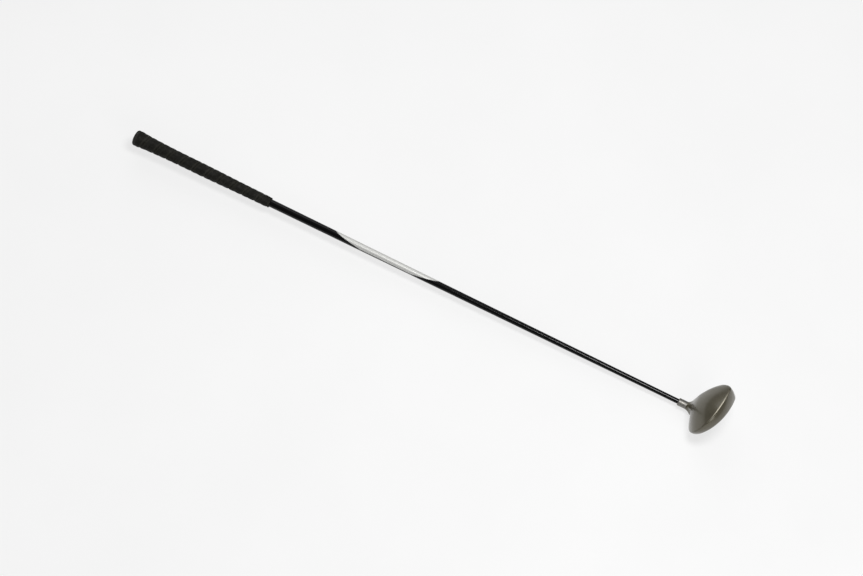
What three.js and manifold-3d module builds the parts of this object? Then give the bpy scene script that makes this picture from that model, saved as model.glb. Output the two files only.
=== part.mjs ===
// A golf driver in millimetres: black tapered shaft, spiral-wrap rubber grip, hollow metal head.
// The club lies down: +X runs along the shaft from butt to head, +Z is up, and the toe points up
// and leans over to the face's side. The head is laid out in address axes first (heel to toe,
// rear to face, ground to crown), turned by the lie angle so that the shaft lies along X,
// and then rolled about the shaft.
import * as THREE from 'three';
import { mergeVertices } from 'three/addons/utils/BufferGeometryUtils.js';
import Module from 'manifold-3d';

const wasm = await Module();
wasm.setup();

// Distances along the shaft, from the butt end.
const CAP_LENGTH = 7;
const CAP_RADIUS = 13.7;
const CAP_EDGE_RADIUS = 2.4;
const VENT_RADIUS = 1.6;
const CAP_ARC_STEPS = 3;
const GRIP_LENGTH = 270;
const GROUND_X = 1121;
const JOINT_GAP = 0.3;

// Grip: from the cap to the mouth, its radius as a share of the cap's.
const GRIP_TAPER_shares = [
  { along: 0, radius: 0.985 },
  { along: 0.027, radius: 0.956 },
  { along: 0.072, radius: 0.883 },
  { along: 0.137, radius: 0.839 },
  { along: 0.209, radius: 0.796 },
  { along: 0.327, radius: 0.763 },
  { along: 0.487, radius: 0.759 },
  { along: 0.612, radius: 0.73 },
  { along: 0.734, radius: 0.686 },
  { along: 0.867, radius: 0.657 },
  { along: 1, radius: 0.635 },
];
const WRAP_GROOVE_DEPTH = 0.75;
const WRAP_PITCH = 25;
const WRAP_COLUMNS = 14;
const MOUTH_CHAMFER = 0.6;
const TAPE_THICKNESS = 0.35;
const TAPE_END_INSET = 6;

// Shaft.
const SHAFT_BUTT_RADIUS = 7.5;
const SHAFT_MOUTH_RADIUS = 6.85;
const SHAFT_TIP_RADIUS = 4.25;
const SHAFT_BUTT_WALL = 1.1;
const SHAFT_TIP_WALL = 1.5;
const TIP_PARALLEL = 75;
const PLUG_LENGTH = 16;

// Hosel, measured along the shaft axis up from the ground.
const LIE_DEGREES = 60;
const ROLL_DEGREES = 21.7;
const HOSEL_TOP = 60;
const HOSEL_SEAT = 44;
const HOSEL_FOOT = 14;
const HOSEL_RADIUS = 6.85;
const HOSEL_SEAT_WALL = 0.95;
const HOSEL_LIP_CHAMFER = 0.6;
const SHAFT_TIP_HEIGHT = 17;
const BOND_THICKNESS = 0.3;

// Collar: the crown drawn up round the hosel, flaring from its lip down to its foot.
const COLLAR_LIP = 0.15;
const COLLAR_DROP = 12.2;
const COLLAR_FOOT_RADIUS = 12.6;
const COLLAR_FLARE_shares = [
  { drop: 0, flare: 0 },
  { drop: 0.19, flare: 0.09 },
  { drop: 0.35, flare: 0.18 },
  { drop: 0.51, flare: 0.3 },
  { drop: 0.67, flare: 0.5 },
  { drop: 0.84, flare: 0.77 },
  { drop: 1, flare: 1 },
];
const COLLAR_WALL = 2.4;

// Head in address axes.
const CROWN_APEX = 46.4;
const CROWN_POWER = 2.2;
const CROWN_EDGE = {
  centre: 24.1,
  half: 50.6,
  mid: -6.6,
  front: 22.4,
  rear: 64.3,
  frontPower_share: 2.6,
  rearPower_share: 2.15,
};
const SOLE_EDGE = {
  centre: 21.4,
  half: 43.9,
  mid: -6.6,
  front: 28.3,
  rear: 58.4,
  frontPower_share: 2.7,
  rearPower_share: 2.2,
};
const CROWN_EDGE_HEIGHT = { side: 23.2, front: 36.7, rear: 21.3, toeRise_share: 0.15 };
const SOLE_EDGE_HEIGHT = { side: 8, front: 4, rear: 8, toeRise_share: 0 };
const SKIRT_BULGE = 1.6;
const SOLE_POWER = 2.4;
const SOLE_FLAT_share = 0.22;
const SOLE_INNER_share = 0.97;
const CROWN_WALL = 1.0;
const BODY_WALL = 1.4;
const FACE_WALL = 2.8;
const FACE_START_DEGREES = 32;
const FACE_END_DEGREES = 126;
const FACE_TOP_share = 0.12;
const FACE_BOTTOM_share = 0.94;

const COLUMNS = 56;
const FACE_COLUMNS = 20;
const CROWN_RINGS = 7;
const SKIRT_RINGS = 4;
const SOLE_RING_shares = [0.86, 0.66, 0.44];
const ROUND_SEGMENTS = 28;
const SMALL_ROUND_SEGMENTS = 20;
const NORMAL_STEP = 0.01;

const lie = THREE.MathUtils.degToRad(LIE_DEGREES);
const tipX = GROUND_X - SHAFT_TIP_HEIGHT;
const bodyStartX = CAP_LENGTH + JOINT_GAP;
const bondRadius = SHAFT_TIP_RADIUS + JOINT_GAP + BOND_THICKNESS;
const hoselBore = bondRadius + JOINT_GAP;
const hoselSeatRadius = hoselBore + HOSEL_SEAT_WALL;
const collarBore = hoselSeatRadius + JOINT_GAP;
const collarTop = HOSEL_SEAT - JOINT_GAP;

function lerpTable(table, key, value, at) {
  const last = table.length - 1;
  if (at <= table[0][key]) return table[0][value];
  if (at >= table[last][key]) return table[last][value];
  const index = table.findIndex((row) => row[key] > at);
  const low = table[index - 1];
  const high = table[index];
  const share = (at - low[key]) / (high[key] - low[key]);
  return low[value] + share * (high[value] - low[value]);
}

// Shaft radius: straight taper from butt to the parallel tip.
function shaftRadius(x) {
  const parallelX = tipX - TIP_PARALLEL;
  if (x <= GRIP_LENGTH) {
    return SHAFT_BUTT_RADIUS + (x / GRIP_LENGTH) * (SHAFT_MOUTH_RADIUS - SHAFT_BUTT_RADIUS);
  }
  const share = Math.min((x - GRIP_LENGTH) / (parallelX - GRIP_LENGTH), 1);
  return SHAFT_MOUTH_RADIUS + share * (SHAFT_TIP_RADIUS - SHAFT_MOUTH_RADIUS);
}

// A body of revolution round the shaft axis; the profile is a closed loop of [x, radius].
function turned(profile, segments) {
  const points = profile.map(([x, radius]) => new THREE.Vector2(radius, x));
  const geometry = new THREE.LatheGeometry(points, segments);
  geometry.rotateZ(-Math.PI / 2);
  return clean(geometry);
}

function clean(geometry) {
  geometry.deleteAttribute('normal');
  geometry.deleteAttribute('uv');
  const merged = mergeVertices(geometry);
  const index = merged.getIndex().array;
  const kept = [];
  for (let i = 0; i < index.length; i += 3) {
    const [a, b, c] = [index[i], index[i + 1], index[i + 2]];
    if (a !== b && b !== c && c !== a) kept.push(a, b, c);
  }
  merged.setIndex(kept);
  if (signedVolume(merged) < 0) flip(merged);
  return merged;
}

function signedVolume(geometry) {
  const position = geometry.getAttribute('position');
  const index = geometry.getIndex().array;
  const a = new THREE.Vector3();
  const b = new THREE.Vector3();
  const c = new THREE.Vector3();
  let total = 0;
  for (let i = 0; i < index.length; i += 3) {
    a.fromBufferAttribute(position, index[i]);
    b.fromBufferAttribute(position, index[i + 1]);
    c.fromBufferAttribute(position, index[i + 2]);
    total += a.dot(b.cross(c));
  }
  return total;
}

function flip(geometry) {
  const index = geometry.getIndex().array;
  for (let i = 0; i < index.length; i += 3) {
    const swap = index[i + 1];
    index[i + 1] = index[i + 2];
    index[i + 2] = swap;
  }
}

// A sheet with thickness: outer and inner points on one grid, walls wherever the grid is open.
// open(row, column) tells which cells are left out; wrapped grids close on themselves.
function sheet(outer, inner, wrapped, open = () => false) {
  const rows = outer.length;
  const columns = outer[0].length;
  const cellColumns = wrapped ? columns : columns - 1;
  const positions = [];
  const indices = [];
  for (const layer of [outer, inner]) {
    for (const row of layer) {
      for (const point of row) positions.push(point.x, point.y, point.z);
    }
  }
  const at = (layer, row, column) => layer * rows * columns + row * columns + (column % columns);
  const quad = (a, b, c, d) => indices.push(a, b, c, a, c, d);
  const filled = (row, column) => {
    if (row < 0 || row >= rows - 1) return false;
    if (!wrapped && (column < 0 || column >= cellColumns)) return false;
    return !open(row, (column + cellColumns) % cellColumns);
  };
  for (let row = 0; row < rows - 1; row += 1) {
    for (let column = 0; column < cellColumns; column += 1) {
      if (!filled(row, column)) continue;
      const next = column + 1;
      quad(at(0, row, column), at(0, row + 1, column), at(0, row + 1, next), at(0, row, next));
      quad(at(1, row, column), at(1, row, next), at(1, row + 1, next), at(1, row + 1, column));
      if (!filled(row - 1, column)) {
        quad(at(0, row, column), at(0, row, next), at(1, row, next), at(1, row, column));
      }
      if (!filled(row + 1, column)) {
        quad(at(0, row + 1, next), at(0, row + 1, column), at(1, row + 1, column), at(1, row + 1, next));
      }
      if (!filled(row, column - 1)) {
        quad(at(0, row + 1, column), at(0, row, column), at(1, row, column), at(1, row + 1, column));
      }
      if (!filled(row, column + 1)) {
        quad(at(0, row, next), at(0, row + 1, next), at(1, row + 1, next), at(1, row, next));
      }
    }
  }
  const geometry = new THREE.BufferGeometry();
  geometry.setAttribute('position', new THREE.Float32BufferAttribute(positions, 3));
  geometry.setIndex(indices);
  return clean(geometry);
}

function solid(geometry) {
  const position = geometry.getAttribute('position').array;
  return new wasm.Manifold(new wasm.Mesh({
    numProp: 3,
    vertProperties: new Float32Array(position),
    triVerts: new Uint32Array(geometry.getIndex().array),
  }));
}

function fromSolid(manifold) {
  const mesh = manifold.getMesh();
  const geometry = new THREE.BufferGeometry();
  geometry.setAttribute('position', new THREE.BufferAttribute(new Float32Array(mesh.vertProperties), 3));
  geometry.setIndex(Array.from(mesh.triVerts));
  return clean(geometry);
}

// Plan outline of an edge loop at angle t: a rounded box, squarer in front than behind.
function outline(edge, t) {
  const across = Math.cos(t);
  const along = Math.sin(t);
  const power = along >= 0 ? edge.frontPower_share : edge.rearPower_share;
  const depth = along >= 0 ? edge.front : edge.rear;
  const shape = (value) => Math.sign(value) * Math.abs(value) ** (2 / power);
  return new THREE.Vector2(edge.centre + edge.half * shape(across), edge.mid + depth * shape(along));
}

function edgeHeight(edge, heights, t) {
  const along = Math.sin(t);
  const target = along >= 0 ? heights.front : heights.rear;
  const rise = heights.toeRise_share * (outline(edge, t).x - edge.centre);
  return heights.side + (target - heights.side) * along ** 2 + rise;
}

// Crown: from the apex (reach 0) out to its edge (reach 1).
function crownPoint(t, reach) {
  const rim = outline(CROWN_EDGE, t);
  const height = edgeHeight(CROWN_EDGE, CROWN_EDGE_HEIGHT, t);
  return new THREE.Vector3(
    CROWN_EDGE.centre + reach * (rim.x - CROWN_EDGE.centre),
    CROWN_EDGE.mid + reach * (rim.y - CROWN_EDGE.mid),
    CROWN_APEX - (CROWN_APEX - height) * reach ** CROWN_POWER,
  );
}

// Skirt and face: from the crown edge (drop 0) down to the sole edge (drop 1), a little bulged.
function skirtPoint(t, drop) {
  const top = outline(CROWN_EDGE, t);
  const foot = outline(SOLE_EDGE, t);
  const high = edgeHeight(CROWN_EDGE, CROWN_EDGE_HEIGHT, t);
  const low = edgeHeight(SOLE_EDGE, SOLE_EDGE_HEIGHT, t);
  const bulge = SKIRT_BULGE * 4 * drop * (1 - drop);
  return new THREE.Vector3(
    top.x + drop * (foot.x - top.x) + bulge * Math.cos(t),
    top.y + drop * (foot.y - top.y) + bulge * Math.sin(t),
    high + drop * (low - high),
  );
}

// Sole: from its edge (reach 1) in to the flat middle that touches the ground.
function solePoint(t, reach) {
  const rim = outline(SOLE_EDGE, t);
  const height = edgeHeight(SOLE_EDGE, SOLE_EDGE_HEIGHT, t);
  const beyond = Math.max((reach - SOLE_FLAT_share) / (1 - SOLE_FLAT_share), 0);
  return new THREE.Vector3(
    SOLE_EDGE.centre + reach * (rim.x - SOLE_EDGE.centre),
    SOLE_EDGE.mid + reach * (rim.y - SOLE_EDGE.mid),
    height * beyond ** SOLE_POWER,
  );
}

// Point moved into the metal along the surface normal.
function inset(surface, t, v, wall, sign) {
  const point = surface(t, v);
  const alongT = surface(t + NORMAL_STEP, v).sub(surface(t - NORMAL_STEP, v));
  const alongV = surface(t, v + NORMAL_STEP).sub(surface(t, v - NORMAL_STEP));
  const normal = alongT.cross(alongV).normalize();
  return point.addScaledVector(normal, sign * wall);
}

function angles(count, start, end, closed) {
  const steps = closed ? count : count - 1;
  return Array.from({ length: count }, (_, i) => start + ((end - start) * i) / steps);
}

function skirtHeight(t) {
  return edgeHeight(CROWN_EDGE, CROWN_EDGE_HEIGHT, t) - edgeHeight(SOLE_EDGE, SOLE_EDGE_HEIGHT, t);
}

function crownSheet() {
  const ts = angles(COLUMNS, 0, 2 * Math.PI, true);
  const outer = [];
  const inner = [];
  for (let ring = 0; ring <= CROWN_RINGS; ring += 1) {
    const reach = ring / CROWN_RINGS;
    outer.push(ts.map((t) => crownPoint(t, reach)));
    if (ring === 0) {
      inner.push(ts.map((t) => crownPoint(t, reach).setZ(CROWN_APEX - CROWN_WALL)));
    } else if (ring === CROWN_RINGS) {
      inner.push(ts.map((t) => skirtPoint(t, CROWN_WALL / skirtHeight(t))));
    } else {
      inner.push(ts.map((t) => inset(crownPoint, t, reach, CROWN_WALL, 1)));
    }
  }
  return sheet(outer, inner, true);
}

// Body: skirt and sole in one, with a window in front for the face plate.
function bodySheet() {
  const start = THREE.MathUtils.degToRad(FACE_START_DEGREES);
  const end = THREE.MathUtils.degToRad(FACE_END_DEGREES);
  const front = angles(FACE_COLUMNS + 1, start, end, false);
  const rest = angles(COLUMNS - FACE_COLUMNS + 1, end, start + 2 * Math.PI, false).slice(1, -1);
  const ts = [...front, ...rest];
  const topShare = (t) => (CROWN_WALL + JOINT_GAP) / skirtHeight(t);
  const drops = [
    topShare,
    () => FACE_TOP_share,
    ...Array.from({ length: SKIRT_RINGS - 1 }, (_, i) => () => (
      FACE_TOP_share + ((i + 1) / SKIRT_RINGS) * (FACE_BOTTOM_share - FACE_TOP_share)
    )),
    () => FACE_BOTTOM_share,
  ];
  const outer = drops.map((drop) => ts.map((t) => skirtPoint(t, drop(t))));
  const inner = drops.map((drop) => ts.map((t) => inset(skirtPoint, t, drop(t), BODY_WALL, 1)));
  const foot = drops.length - 1;
  outer.push(ts.map((t) => solePoint(t, 1)));
  inner.push(ts.map((t) => solePoint(t, 1).add(rimShift(t))));
  const rise = new THREE.Vector3(0, 0, BODY_WALL);
  for (const reach of [...SOLE_RING_shares, SOLE_FLAT_share]) {
    outer.push(ts.map((t) => solePoint(t, reach)));
    inner.push(ts.map((t) => solePoint(t, reach * SOLE_INNER_share).add(rise)));
  }
  outer.push(ts.map((t) => solePoint(t, 0)));
  inner.push(ts.map((t) => solePoint(t, 0).setZ(BODY_WALL)));
  const isWindow = (row, column) => row >= 1 && row < foot && column < FACE_COLUMNS;
  return sheet(outer, inner, true, isWindow);
}

// Where skirt and sole meet the wall turns the corner: up and inwards by one wall each.
function rimShift(t) {
  const rim = outline(SOLE_EDGE, t);
  const inward = new THREE.Vector2(SOLE_EDGE.centre - rim.x, SOLE_EDGE.mid - rim.y).normalize();
  return new THREE.Vector3(inward.x * BODY_WALL, inward.y * BODY_WALL, BODY_WALL);
}

function facePlate() {
  const midRadius = SOLE_EDGE.half;
  const side = JOINT_GAP / midRadius;
  const start = THREE.MathUtils.degToRad(FACE_START_DEGREES) + side;
  const end = THREE.MathUtils.degToRad(FACE_END_DEGREES) - side;
  const ts = angles(FACE_COLUMNS + 1, end, start, false);
  const outer = [];
  const inner = [];
  for (let row = 0; row <= SKIRT_RINGS; row += 1) {
    const share = row / SKIRT_RINGS;
    const dropAt = (t) => {
      const edge = JOINT_GAP / skirtHeight(t);
      const top = FACE_TOP_share + edge;
      const bottom = FACE_BOTTOM_share - edge;
      return top + share * (bottom - top);
    };
    outer.push(ts.map((t) => skirtPoint(t, dropAt(t))));
    inner.push(ts.map((t) => inset(skirtPoint, t, dropAt(t), FACE_WALL, 1)));
  }
  return sheet(outer, inner, false);
}

// A body of revolution about the shaft axis; heights run up the axis from the ground.
function turnedOnAxis(profile, segments) {
  return turned(profile.map(([height, radius]) => [-height, radius]), segments);
}

// Address axes to shaft axes: the sole tips towards the far end of the shaft.
const toShaft = new THREE.Matrix4().makeBasis(
  new THREE.Vector3(Math.cos(lie), 0, Math.sin(lie)),
  new THREE.Vector3(0, 1, 0),
  new THREE.Vector3(-Math.sin(lie), 0, Math.cos(lie)),
);

// The collar as a solid bell; grown by a gap it is also what cuts the body back.
function collarSolid(extra) {
  const lip = HOSEL_RADIUS + COLLAR_LIP;
  const loop = COLLAR_FLARE_shares.map(({ drop, flare }) => [
    collarTop - drop * COLLAR_DROP + extra,
    lip + flare * (COLLAR_FOOT_RADIUS - lip) + extra,
  ]);
  const foot = collarTop - COLLAR_DROP - COLLAR_WALL;
  const closed = [
    ...loop,
    [foot, COLLAR_FOOT_RADIUS + extra],
    [foot, 0],
    [collarTop + extra, 0],
    loop[0],
  ];
  return solid(turnedOnAxis(closed, ROUND_SEGMENTS));
}

function boreSolid(radius) {
  const high = HOSEL_TOP;
  const low = -HOSEL_TOP;
  const loop = [[high, 0], [high, radius], [low, radius], [low, 0]];
  return solid(turnedOnAxis(loop, ROUND_SEGMENTS));
}

function gripRadius(x) {
  const along = (x - CAP_LENGTH) / (GRIP_LENGTH - CAP_LENGTH);
  return CAP_RADIUS * lerpTable(GRIP_TAPER_shares, 'along', 'radius', along);
}

// The sleeve's rows step round by one column each, so the lowered points wind a groove round it.
function gripSleeve() {
  const step = WRAP_PITCH / WRAP_COLUMNS;
  const rows = Math.floor((GRIP_LENGTH - bodyStartX) / step) + 1;
  const outer = [];
  const inner = [];
  for (let row = 0; row < rows; row += 1) {
    const atMouth = row === rows - 1;
    const x = atMouth ? GRIP_LENGTH : bodyStartX + row * step;
    const radius = gripRadius(x) - (atMouth ? MOUTH_CHAMFER : 0);
    const bore = shaftRadius(x) + TAPE_THICKNESS + 2 * JOINT_GAP;
    const ring = [];
    const bored = [];
    for (let column = 0; column < WRAP_COLUMNS; column += 1) {
      const angle = (column / WRAP_COLUMNS) * 2 * Math.PI;
      const inGroove = (column + row) % WRAP_COLUMNS === 0 && row > 0 && !atMouth;
      const reach = inGroove ? radius - WRAP_GROOVE_DEPTH : radius;
      ring.push(new THREE.Vector3(x, reach * Math.cos(angle), reach * Math.sin(angle)));
      bored.push(new THREE.Vector3(x, bore * Math.cos(angle), bore * Math.sin(angle)));
    }
    outer.push(ring);
    inner.push(bored);
  }
  return ringSleeve(outer, [inner[0], inner[rows - 1]]);
}

// A sleeve with a finely ringed outside and a plain bore between its two ends.
function ringSleeve(outer, bore) {
  const columns = outer[0].length;
  const rings = [...outer, bore[1], bore[0], outer[0]];
  const positions = [];
  const indices = [];
  for (const ring of rings) {
    for (const point of ring) positions.push(point.x, point.y, point.z);
  }
  for (let row = 0; row < rings.length - 1; row += 1) {
    for (let column = 0; column < columns; column += 1) {
      const next = (column + 1) % columns;
      const a = row * columns + column;
      const b = row * columns + next;
      const c = (row + 1) * columns + column;
      const d = (row + 1) * columns + next;
      indices.push(a, b, c, b, d, c);
    }
  }
  const geometry = new THREE.BufferGeometry();
  geometry.setAttribute('position', new THREE.Float32BufferAttribute(positions, 3));
  geometry.setIndex(indices);
  return clean(geometry);
}

function endCap() {
  const bevel = CAP_EDGE_RADIUS;
  const arc = Array.from({ length: CAP_ARC_STEPS + 1 }, (_, i) => {
    const angle = (i / CAP_ARC_STEPS) * (Math.PI / 2);
    return [bevel * (1 - Math.cos(angle)), CAP_RADIUS - bevel * (1 - Math.sin(angle))];
  });
  return turned([
    [0, VENT_RADIUS],
    ...arc,
    [CAP_LENGTH, gripRadius(CAP_LENGTH)],
    [CAP_LENGTH, VENT_RADIUS],
    [0, VENT_RADIUS],
  ], ROUND_SEGMENTS);
}

function sleeve(start, end, innerAt, outerAt, segments) {
  return turned([
    [start, innerAt(start)],
    [start, outerAt(start)],
    [end, outerAt(end)],
    [end, innerAt(end)],
    [start, innerAt(start)],
  ], segments);
}

function shaftTube() {
  const parallelX = tipX - TIP_PARALLEL;
  const stations = [bodyStartX, GRIP_LENGTH, parallelX, tipX];
  const wallAt = (x) => SHAFT_BUTT_WALL + (x / tipX) * (SHAFT_TIP_WALL - SHAFT_BUTT_WALL);
  const outer = stations.map((x) => [x, shaftRadius(x)]);
  const inner = [...stations].reverse().map((x) => [x, shaftRadius(x) - wallAt(x)]);
  return turned([...outer, ...inner, outer[0]], ROUND_SEGMENTS);
}

function tipPlug() {
  const radius = SHAFT_TIP_RADIUS - SHAFT_TIP_WALL - JOINT_GAP;
  const start = tipX - PLUG_LENGTH;
  return turned([[start, 0], [start, radius], [tipX, radius], [tipX, 0]], SMALL_ROUND_SEGMENTS);
}

function hoselTube() {
  const lip = HOSEL_LIP_CHAMFER;
  return turnedOnAxis([
    [HOSEL_TOP, hoselBore],
    [HOSEL_TOP, HOSEL_RADIUS - lip],
    [HOSEL_TOP - lip, HOSEL_RADIUS],
    [HOSEL_SEAT, HOSEL_RADIUS],
    [HOSEL_SEAT, hoselSeatRadius],
    [HOSEL_FOOT, hoselSeatRadius],
    [HOSEL_FOOT, 0],
    [SHAFT_TIP_HEIGHT - JOINT_GAP, 0],
    [SHAFT_TIP_HEIGHT - JOINT_GAP, hoselBore],
    [HOSEL_TOP, hoselBore],
  ], ROUND_SEGMENTS);
}

const crownBase = crownSheet().applyMatrix4(toShaft);
const bodyBase = bodySheet().applyMatrix4(toShaft);
const faceBase = facePlate().applyMatrix4(toShaft);
const collar = collarSolid(0);
const crownSolid = solid(crownBase).add(collar).subtract(boreSolid(collarBore));
const bodySolid = solid(bodyBase).subtract(collarSolid(JOINT_GAP)).subtract(boreSolid(collarBore));

const finishes = {
  rubber: { color: 0x1b1b1c, roughness: 0.85, metalness: 0 },
  shaft: { color: 0x0b0b0d, roughness: 0.18, metalness: 0.1 },
  head: { color: 0x4b4a47, roughness: 0.4, metalness: 0.7 },
  steel: { color: 0xb9b8b4, roughness: 0.3, metalness: 1 },
  face: { color: 0x5c5a5c, roughness: 0.45, metalness: 0.8 },
  tape: { color: 0xcfc7ae, roughness: 0.9, metalness: 0 },
  resin: { color: 0x8a8577, roughness: 0.6, metalness: 0 },
  cork: { color: 0x9a7a55, roughness: 0.9, metalness: 0 },
};

const roll = new THREE.Matrix4().makeRotationX(-THREE.MathUtils.degToRad(ROLL_DEGREES));
const parts = [];
function place(name, geometry, finish, matrix) {
  if (matrix) geometry.applyMatrix4(matrix);
  geometry.applyMatrix4(roll);
  geometry.computeVertexNormals();
  const mesh = new THREE.Mesh(geometry, new THREE.MeshStandardMaterial(finishes[finish]));
  mesh.name = name;
  parts.push(mesh);
}

const toGround = new THREE.Matrix4().makeTranslation(GROUND_X, 0, 0);
const tapeEnd = GRIP_LENGTH - TAPE_END_INSET;
const tapeInner = (x) => shaftRadius(x) + JOINT_GAP;
const tapeOuter = (x) => shaftRadius(x) + JOINT_GAP + TAPE_THICKNESS;
const bondStart = GROUND_X - HOSEL_TOP + JOINT_GAP;
const bondInner = () => SHAFT_TIP_RADIUS + JOINT_GAP;
const bondOuter = () => bondRadius;

place('grip_end_cap', endCap(), 'rubber');
place('grip_sleeve', gripSleeve(), 'rubber');
place('grip_tape', sleeve(bodyStartX, tapeEnd, tapeInner, tapeOuter, ROUND_SEGMENTS), 'tape');
place('shaft_tube', shaftTube(), 'shaft');
place('shaft_tip_plug', tipPlug(), 'cork');
place('hosel_bond', sleeve(bondStart, tipX, bondInner, bondOuter, SMALL_ROUND_SEGMENTS), 'resin');
place('hosel_tube', hoselTube(), 'steel', toGround);
place('crown_shell', fromSolid(crownSolid), 'head', toGround);
place('body_shell', fromSolid(bodySolid), 'head', toGround);
place('face_plate', faceBase, 'face', toGround);

const club = new THREE.Group();
club.name = 'golf_club';
const box = new THREE.Box3();
for (const mesh of parts) {
  mesh.geometry.computeBoundingBox();
  box.union(mesh.geometry.boundingBox);
}
const shift = new THREE.Matrix4().makeTranslation(
  -(box.min.x + box.max.x) / 2,
  -(box.min.y + box.max.y) / 2,
  -box.min.z,
);
for (const mesh of parts) {
  mesh.geometry.applyMatrix4(shift);
  club.add(mesh);
}

export default club;
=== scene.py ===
# %% [markdown]
# # A golf driver lying on a pale table
# The solid model of the club is the frame of this lesson. Every piece that shows gets a finer
# skin, worked out with numpy on a grid from the same sizes, and a procedural finish. The pieces
# that stay hidden inside keep their solid meshes and get a plain finish.

# %% Load the frame
import math

import bpy
import bmesh
import numpy as np
from mathutils import Matrix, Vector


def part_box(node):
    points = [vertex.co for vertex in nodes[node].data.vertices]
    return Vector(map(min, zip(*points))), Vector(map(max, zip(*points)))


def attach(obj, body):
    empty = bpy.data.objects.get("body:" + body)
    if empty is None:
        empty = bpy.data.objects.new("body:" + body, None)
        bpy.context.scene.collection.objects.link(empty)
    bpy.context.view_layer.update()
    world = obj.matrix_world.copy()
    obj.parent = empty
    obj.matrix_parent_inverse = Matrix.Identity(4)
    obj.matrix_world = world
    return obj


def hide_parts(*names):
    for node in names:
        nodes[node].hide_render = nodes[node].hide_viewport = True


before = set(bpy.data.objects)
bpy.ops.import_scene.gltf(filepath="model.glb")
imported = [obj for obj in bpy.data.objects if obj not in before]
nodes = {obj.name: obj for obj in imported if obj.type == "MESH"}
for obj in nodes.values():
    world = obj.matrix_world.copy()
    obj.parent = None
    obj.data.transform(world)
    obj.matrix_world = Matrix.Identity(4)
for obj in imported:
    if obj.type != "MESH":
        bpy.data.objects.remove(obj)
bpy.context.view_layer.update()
print("solid pieces:", len(nodes))

# %% [markdown]
# ## Sizes
# Lengths are in millimetres until a piece goes into the frame, because that is how a club maker
# writes them. Distances along the shaft start at the butt. The head is described in address
# axes: x from heel to toe, y from the rear to the face, z up from the ground, with the shaft's
# axis through the origin, leaning by the lie angle.

# %% Sizes of the club
MM = 0.001
GROUND_X = 1121.0
LIE = math.radians(60)
ROLL = math.radians(21.7)
JOINT_GAP = 0.3

GRIP_LENGTH = 270.0
CAP_LENGTH = 7.0
CAP_RADIUS = 14.3
WRAP_PITCH = 25.0
SHAFT_BUTT_RADIUS = 7.5
SHAFT_MOUTH_RADIUS = 6.85
SHAFT_TIP_RADIUS = 4.25
SHAFT_TIP_HEIGHT = 17.0
PARALLEL_TIP = 75.0

HOSEL_TOP = 60.0
HOSEL_SEAT = 44.0
HOSEL_FOOT = 14.0
HOSEL_RADIUS = 6.85
HOSEL_BORE = 5.15
SEAT_RADIUS = 6.1
COLLAR_LIP_RADIUS = 7.0
COLLAR_FOOT_RADIUS = 12.6
COLLAR_DROP = 12.2

CROWN_APEX = 46.4
CROWN_POWER = 2.05
CROWN_EDGE = dict(
    centre=24.1, half=50.6, mid=-6.6, front=22.4, rear=64.3, front_power=2.6, rear_power=2.15
)
SOLE_EDGE = dict(
    centre=21.4, half=43.9, mid=-6.6, front=28.3, rear=58.4, front_power=2.7, rear_power=2.2
)
CROWN_RIM = dict(side=23.2, front=36.7, rear=21.3, toe_rise=0.15)
SOLE_RIM = dict(side=8.0, front=4.0, rear=8.0, toe_rise=0.0)
SKIRT_BULGE = 1.6
SOLE_POWER = 2.4
SOLE_FLAT = 0.22
FACE_START = math.radians(32)
FACE_END = math.radians(126)
FACE_TOP = 0.12
FACE_BOTTOM = 0.94

shaft_low, shaft_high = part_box("shaft_tube")
AXIS_Y = (shaft_low[1] + shaft_high[1]) / 2
AXIS_Z = (shaft_low[2] + shaft_high[2]) / 2
BUTT_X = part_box("grip_end_cap")[0][0]
print("shaft axis at y %.4f z %.4f, butt at x %.4f" % (AXIS_Y, AXIS_Z, BUTT_X))

# %% [markdown]
# ## From a grid of points to a piece
# Nearly all pieces are grids: rows run along the piece, columns run round it. A closed wall is
# one grid too, whose rows go down the outside and come back up the inside. One helper turns any
# such grid into a mesh, so the shapes themselves stay pure numpy.


# %% Helpers: axes
def in_frame(points):
    """Shaft axes in mm (x from the butt, y to the face, z to the toe), rolled, scaled and moved."""
    points = np.asarray(points, float)
    cos_roll, sin_roll = math.cos(ROLL), math.sin(ROLL)
    y = cos_roll * points[..., 1] + sin_roll * points[..., 2]
    z = -sin_roll * points[..., 1] + cos_roll * points[..., 2]
    return np.stack([BUTT_X + points[..., 0] * MM, AXIS_Y + y * MM, AXIS_Z + z * MM], axis=-1)


def from_address(points):
    """Address axes turned by the lie angle, so that the shaft's axis becomes x, then in_frame."""
    x = math.cos(LIE) * points[..., 0] - math.sin(LIE) * points[..., 2]
    z = math.sin(LIE) * points[..., 0] + math.cos(LIE) * points[..., 2]
    return in_frame(np.stack([GROUND_X + x, points[..., 1], z], axis=-1))


# %% Helpers: meshes
def signed_volume(points, quads):
    """A sixth of the sum of a . (b x c) over the triangles of all quads."""
    a, b, c, d = (points[quads[:, k]] for k in range(4))
    doubled = np.einsum("ij,ij->i", a, np.cross(b, c)) + np.einsum("ij,ij->i", a, np.cross(c, d))
    return doubled.sum() / 6


def outward_mesh(name, points, quads):
    """A closed mesh and its quads, turned round if the volume that they enclose is negative."""
    if signed_volume(points - points.mean(axis=0), quads) < 0:
        quads = quads[:, ::-1]
    mesh = bpy.data.meshes.new(name)
    mesh.from_pydata(points.tolist(), [], quads.tolist())
    return mesh, quads


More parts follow.
